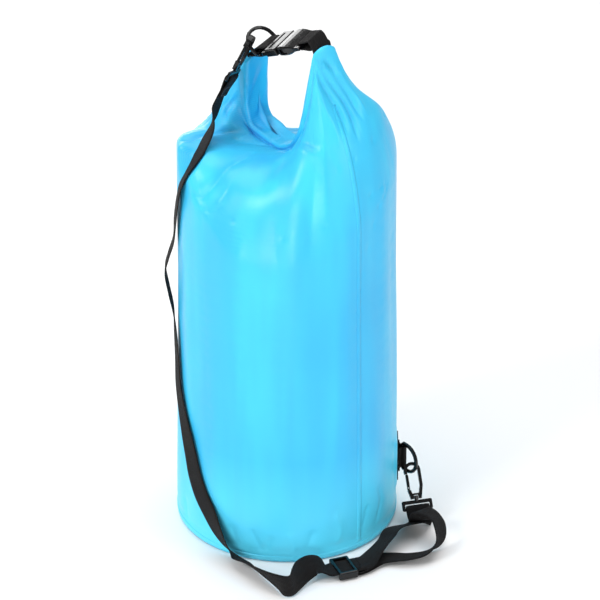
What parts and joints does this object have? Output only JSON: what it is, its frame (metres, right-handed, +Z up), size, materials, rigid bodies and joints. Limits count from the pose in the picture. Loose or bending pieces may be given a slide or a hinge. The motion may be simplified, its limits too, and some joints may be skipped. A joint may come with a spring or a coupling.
{
  "type": "dry bag",
  "caption": "Upright cylindrical roll-top dry bag with its rolled mouth clipped into a carrying loop, a clip-on shoulder strap with snap hooks, D-rings and a slider.",
  "frame": {"origin": "centre of the flat base, on the ground", "axes": "+Z up along the tube; +X along the rolled mouth, towards the end that carries the buckle's socket; +Y across the mouth"},
  "size_m": [0.3098, 0.2503, 0.5804],
  "materials": {
    "coated_fabric": "satin coated weave",
    "rolled_fabric": "satin coated weave",
    "stiffener_strip": "matte",
    "webbing": "woven",
    "moulded_plastic": "glossy moulded",
    "pin_steel": "brushed"
  },
  "bodies": {
    "bag": {"bag_tube": "coated_fabric", "base_disc": "coated_fabric", "base_weld_band": "coated_fabric", "side_seam_right": "coated_fabric", "side_seam_left": "coated_fabric", "left_gusset": "coated_fabric", "roll_left_inner": "rolled_fabric", "stiffener_left": "stiffener_strip", "roll_left_outer": "rolled_fabric", "buckle_plug": "moulded_plastic", "closure_strap_left": "webbing", "lower_patch": "webbing", "lower_tab": "webbing", "strap_long_run": "webbing", "strap_lower_loop": "webbing"},
    "right_end": {"roll_right_inner": "rolled_fabric", "stiffener_right": "stiffener_strip", "roll_right_outer": "rolled_fabric", "right_gusset": "coated_fabric", "closure_strap_right": "webbing", "buckle_socket": "moulded_plastic"},
    "release_front": {"release_arm_front": "moulded_plastic"},
    "release_back": {"release_arm_back": "moulded_plastic"},
    "upper_ring": {"upper_d_ring": "moulded_plastic", "upper_swivel_eye": "moulded_plastic"},
    "upper_hook": {"upper_hook_body": "moulded_plastic", "upper_gate_pin": "pin_steel"},
    "upper_gate": {"upper_gate": "moulded_plastic"},
    "lower_ring": {"lower_d_ring": "moulded_plastic", "lower_swivel_eye": "moulded_plastic"},
    "lower_hook": {"lower_hook_body": "moulded_plastic", "lower_gate_pin": "pin_steel"},
    "lower_gate": {"lower_gate": "moulded_plastic"},
    "slider": {"strap_slider": "moulded_plastic"}
  },
  "joints": [
    {"name": "closure_open", "type": "hinge", "parent": "bag", "child": "right_end", "pos_m": [0.04871, 0, 0.46008], "axis": [0, 1, 0], "range_deg": [0, 50], "deforming": ["release_arm_front", "release_arm_back"]},
    {"name": "release_front_press", "type": "hinge", "parent": "bag", "child": "release_front", "pos_m": [0.002, -0.01059, 0.55023], "axis": [-0.3846, -0.3256, 0.8638], "range_deg": [0, 12], "stiffness_Nm_per_rad": 0.02},
    {"name": "release_back_press", "type": "hinge", "parent": "bag", "child": "release_back", "pos_m": [-0.00096, 0.01059, 0.55689], "axis": [0.3846, 0.3256, -0.8638], "range_deg": [0, 12], "stiffness_Nm_per_rad": 0.02},
    {"name": "upper_ring_swing", "type": "hinge", "parent": "bag", "child": "upper_ring", "pos_m": [-0.03061, 0.00033, 0.53866], "axis": [-0.1322, 0.9456, 0.2972], "range_deg": [0, 60], "deforming": ["strap_long_run"]},
    {"name": "upper_hook_turn", "type": "hinge", "parent": "upper_ring", "child": "upper_hook", "pos_m": [-0.04498, -0.02974, 0.51696], "axis": [0.1926, 0.43, 0.882], "range_deg": [-9, 4]},
    {"name": "upper_gate_open", "type": "hinge", "parent": "upper_hook", "child": "upper_gate", "pos_m": [-0.0395, -0.02982, 0.53009], "axis": [0.8657, 0.3487, -0.359], "range_deg": [0, 24], "stiffness_Nm_per_rad": 0.01},
    {"name": "lower_ring_swing", "type": "hinge", "parent": "bag", "child": "lower_ring", "pos_m": [0.08331, 0.09252, 0.062], "axis": [0, 0, 1], "range_deg": [-15, 35], "deforming": ["strap_lower_loop"]},
    {"name": "lower_hook_turn", "type": "hinge", "parent": "lower_ring", "child": "lower_hook", "pos_m": [0.116, 0.08239, 0.0262], "axis": [-0.5612, 0.3034, 0.7701], "range_deg": [-18, 24]},
    {"name": "lower_gate_open", "type": "hinge", "parent": "lower_hook", "child": "lower_gate", "pos_m": [0.10539, 0.08066, 0.03551], "axis": [0.6301, -0.4467, 0.6352], "range_deg": [0, 24], "stiffness_Nm_per_rad": 0.01},
    {"name": "slider_slide", "type": "slide", "parent": "bag", "child": "slider", "axis": [0.3557, 0.9346, 0], "range_m": [-0.006, 0.006], "deforming": ["strap_long_run", "strap_lower_loop"]}
  ]
}
